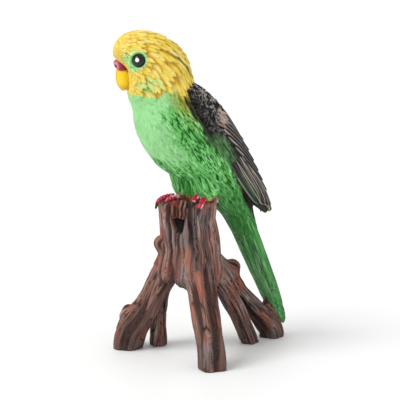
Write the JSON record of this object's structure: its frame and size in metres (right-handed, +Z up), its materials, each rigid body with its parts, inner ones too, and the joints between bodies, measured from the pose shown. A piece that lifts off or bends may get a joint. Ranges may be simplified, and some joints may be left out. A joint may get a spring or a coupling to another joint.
{
  "type": "parrot figurine",
  "caption": "Moulded figurine of a long-tailed parrot with turned head and folded wings, perched on a barked tree stump that stands on spreading roots.",
  "frame": {"origin": "on the floor plane, under the middle of the part's bounding box", "axes": "+Z up; the bird's breast faces -Y and its tail runs down towards +Y; the bird's left side is +X"},
  "size_m": [0.0464, 0.0644, 0.107],
  "materials": {
    "painted_pvc": "solid PVC moulding, hand painted in matte and satin coats"
  },
  "bodies": {
    "root": {"parrot_on_stump": "painted_pvc"}
  },
  "joints": []
}
